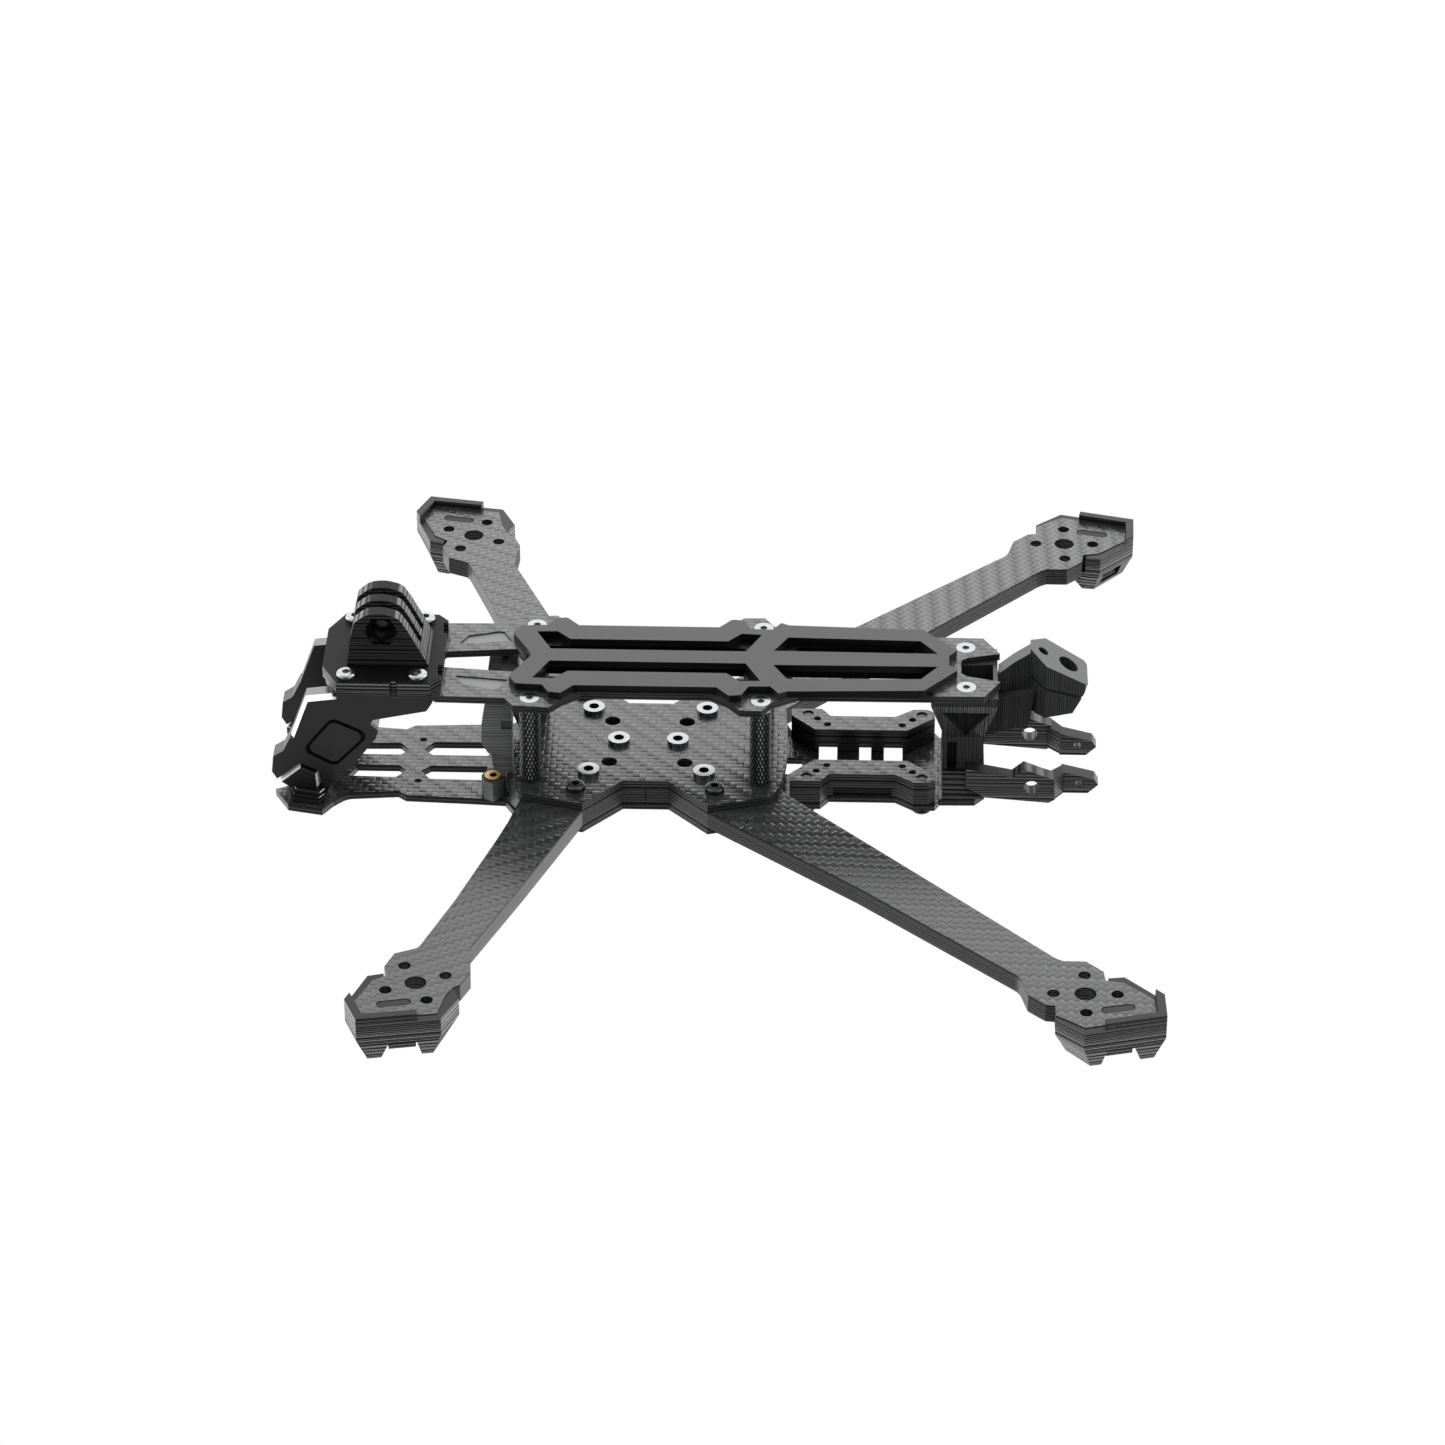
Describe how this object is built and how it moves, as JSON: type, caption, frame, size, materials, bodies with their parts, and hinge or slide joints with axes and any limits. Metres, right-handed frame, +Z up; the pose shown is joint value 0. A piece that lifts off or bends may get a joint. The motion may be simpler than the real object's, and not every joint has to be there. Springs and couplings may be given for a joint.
{
  "type": "quadcopter drone",
  "caption": "Long-range quadcopter airframe with plate body, four arms with end guards, nose plates, action camera fingers, battery pad and tail antenna mounts.",
  "frame": {"origin": "centre of the flight stack hole patterns, on the top face of the middle plate", "axes": "+Z up, nose towards -Y, +X towards the aircraft's left side as its pilot sees it"},
  "size_m": [0.2552, 0.2324, 0.0571],
  "materials": {
    "carbon_plate": "satin woven carbon fibre laminate",
    "carbon_arm": "satin woven carbon fibre laminate, 5 mm thick",
    "printed_black": "matt flexible print with fine horizontal layers",
    "dark_anodised": "fine blasted dark grey anodising",
    "black_anodised": "knurled black anodising",
    "grey_pad": "smooth mid grey non-slip sheet",
    "grey_inlay": "plain light grey",
    "bright_steel": "bright plated steel",
    "black_steel": "black oxide steel",
    "brass": "turned brass"
  },
  "bodies": {
    "root": {"bottom_plate": "carbon_plate", "middle_plate": "carbon_plate", "top_plate": "carbon_plate", "top_plate_inlays": "grey_inlay", "battery_pad": "grey_pad", "left_front_arm": "carbon_arm", "left_rear_arm": "carbon_arm", "left_front_arm_guard": "printed_black", "left_rear_arm_guard": "printed_black", "left_rear_rail": "printed_black", "left_nose_plate": "dark_anodised", "left_nose_foot": "printed_black", "left_front_bracket": "printed_black", "left_bracket_insert": "brass", "left_front_standoff": "black_anodised", "left_rear_standoff": "black_anodised", "right_front_arm": "carbon_arm", "right_rear_arm": "carbon_arm", "right_front_arm_guard": "printed_black", "right_rear_arm_guard": "printed_black", "right_rear_rail": "printed_black", "right_nose_plate": "dark_anodised", "right_nose_foot": "printed_black", "right_front_bracket": "printed_black", "right_bracket_insert": "brass", "right_front_standoff": "black_anodised", "right_rear_standoff": "black_anodised", "action_camera_mount": "printed_black", "camera_mount_screws": "bright_steel", "front_cross_member": "printed_black", "tail_antenna_mount": "printed_black", "tail_fork": "printed_black", "stack_press_nuts": "bright_steel", "arm_clamp_screws": "black_steel", "top_plate_screws": "bright_steel", "standoff_screws": "black_steel", "rail_screws": "black_steel", "tail_screws": "black_steel"}
  },
  "joints": []
}
